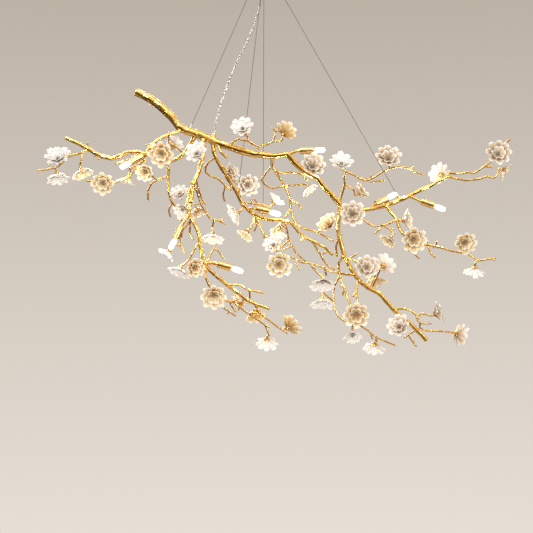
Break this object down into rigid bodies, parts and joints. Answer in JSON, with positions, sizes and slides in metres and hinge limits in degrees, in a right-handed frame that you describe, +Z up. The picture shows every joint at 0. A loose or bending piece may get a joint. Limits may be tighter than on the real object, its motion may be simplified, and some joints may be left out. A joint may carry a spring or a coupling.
{
  "type": "linear branch pendant light",
  "caption": "Long hanging light shaped as a gold tree branch with porcelain blossoms and small plug-in lamps, held by thin cables and a clear power cord from a round ceiling canopy.",
  "frame": {"origin": "centre of the ceiling bracket's top face, in the plane of the ceiling", "axes": "+Z up out of the ceiling face, +X along the length of the branches, +Y away from the viewer of the picture"},
  "size_m": [1.5245, 0.3048, 1.3072],
  "materials": {
    "gold_bark": "polished gold plate on cast bark texture",
    "gold_plate": "polished gold plate",
    "zinc_steel": "zinc plated",
    "nickel": "nickel plated",
    "steel_cable": "stranded steel",
    "brass": "plain brass",
    "clear_plastic": "clear sheath over tinned leads",
    "lead_plastic": "lead insulation",
    "white_plastic": "moulded",
    "holder_ceramic": "unglazed",
    "pistil_enamel": "grey-brown enamel",
    "white_porcelain": "thin glazed porcelain",
    "champagne_porcelain": "thin glazed porcelain, champagne tint",
    "blush_porcelain": "thin glazed porcelain, blush tint",
    "frosted_glass": "frosted, lit warm white"
  },
  "bodies": {
    "ceiling_mount": {"canopy_cover": "gold_plate", "ceiling_bracket": "zinc_steel", "hub_nipple": "zinc_steel", "hub_locknut": "zinc_steel", "cable_hub": "gold_plate", "cable_grippers": "nickel", "hub_gland": "clear_plastic", "terminal_block": "white_plastic", "earth_screw": "brass", "supply_lead": "lead_plastic", "suspension_cable_1": "steel_cable", "suspension_cable_2": "steel_cable", "suspension_cable_3": "steel_cable", "suspension_cable_4": "steel_cable", "power_cord": "clear_plastic"},
    "pendant": {"trunk": "gold_bark", "left_bough": "gold_bark", "back_left_bough": "gold_bark", "drooping_left_bough": "gold_bark", "lower_left_twig": "gold_bark", "middle_bough": "gold_bark", "upper_twig": "gold_bark", "back_centre_bough": "gold_bark", "right_bough": "gold_bark", "upper_right_bough": "gold_bark", "lower_right_bough": "gold_bark", "right_drooping_bough": "gold_bark", "low_centre_twig": "gold_bark", "long_low_twig": "gold_bark", "right_tip_twig": "gold_bark", "wiring_harness": "lead_plastic", "spigot_grub_screws": "zinc_steel", "cable_anchors": "gold_plate", "trunk_gland": "gold_plate", "lamp_sleeves": "gold_plate", "stem_nuts": "zinc_steel", "lampholders": "holder_ceramic", "calyxes": "gold_plate", "pistil_beads": "pistil_enamel", "white_outer_whorls": "white_porcelain", "white_inner_whorls": "white_porcelain", "champagne_outer_whorls": "champagne_porcelain", "champagne_inner_whorls": "champagne_porcelain", "blush_outer_whorls": "blush_porcelain", "blush_inner_whorls": "blush_porcelain"},
    "lamp_1": {"bulb_1": "frosted_glass"},
    "lamp_2": {"bulb_2": "frosted_glass"},
    "lamp_3": {"bulb_3": "frosted_glass"},
    "lamp_4": {"bulb_4": "frosted_glass"},
    "lamp_5": {"bulb_5": "frosted_glass"},
    "lamp_6": {"bulb_6": "frosted_glass"},
    "lamp_7": {"bulb_7": "frosted_glass"},
    "release_1": {"gripper_plunger_1": "nickel"},
    "release_2": {"gripper_plunger_2": "nickel"},
    "release_3": {"gripper_plunger_3": "nickel"},
    "release_4": {"gripper_plunger_4": "nickel"}
  },
  "joints": [
    {"name": "height_adjust", "type": "slide", "parent": "ceiling_mount", "child": "pendant", "axis": [0, 0, 1], "range_m": [0, 0.25], "deforming": ["suspension_cable_1", "suspension_cable_2", "suspension_cable_3", "suspension_cable_4", "power_cord"]},
    {"name": "bulb_1_pull", "type": "slide", "parent": "pendant", "child": "lamp_1", "axis": [-0.7962, -0.4005, -0.4534], "range_m": [0, 0.02]},
    {"name": "bulb_2_pull", "type": "slide", "parent": "pendant", "child": "lamp_2", "axis": [0.9956, -0.091, 0.0205], "range_m": [0, 0.02]},
    {"name": "bulb_3_pull", "type": "slide", "parent": "pendant", "child": "lamp_3", "axis": [0.9658, -0.1258, -0.2269], "range_m": [0, 0.02]},
    {"name": "bulb_4_pull", "type": "slide", "parent": "pendant", "child": "lamp_4", "axis": [0.8674, 0.2668, 0.42], "range_m": [0, 0.02]},
    {"name": "bulb_5_pull", "type": "slide", "parent": "pendant", "child": "lamp_5", "axis": [0.9369, -0.1398, -0.3204], "range_m": [0, 0.02]},
    {"name": "bulb_6_pull", "type": "slide", "parent": "pendant", "child": "lamp_6", "axis": [-0.391, -0.2282, -0.8917], "range_m": [0, 0.02]},
    {"name": "bulb_7_pull", "type": "slide", "parent": "pendant", "child": "lamp_7", "axis": [0.9582, -0.0918, -0.2709], "range_m": [0, 0.02]},
    {"name": "gripper_1_release", "type": "slide", "parent": "ceiling_mount", "child": "release_1", "axis": [0, 0, 1], "range_m": [0, 0.002], "stiffness_N_per_m": 250},
    {"name": "gripper_2_release", "type": "slide", "parent": "ceiling_mount", "child": "release_2", "axis": [0, 0, 1], "range_m": [0, 0.002], "stiffness_N_per_m": 250},
    {"name": "gripper_3_release", "type": "slide", "parent": "ceiling_mount", "child": "release_3", "axis": [0, 0, 1], "range_m": [0, 0.002], "stiffness_N_per_m": 250},
    {"name": "gripper_4_release", "type": "slide", "parent": "ceiling_mount", "child": "release_4", "axis": [0, 0, 1], "range_m": [0, 0.002], "stiffness_N_per_m": 250}
  ]
}
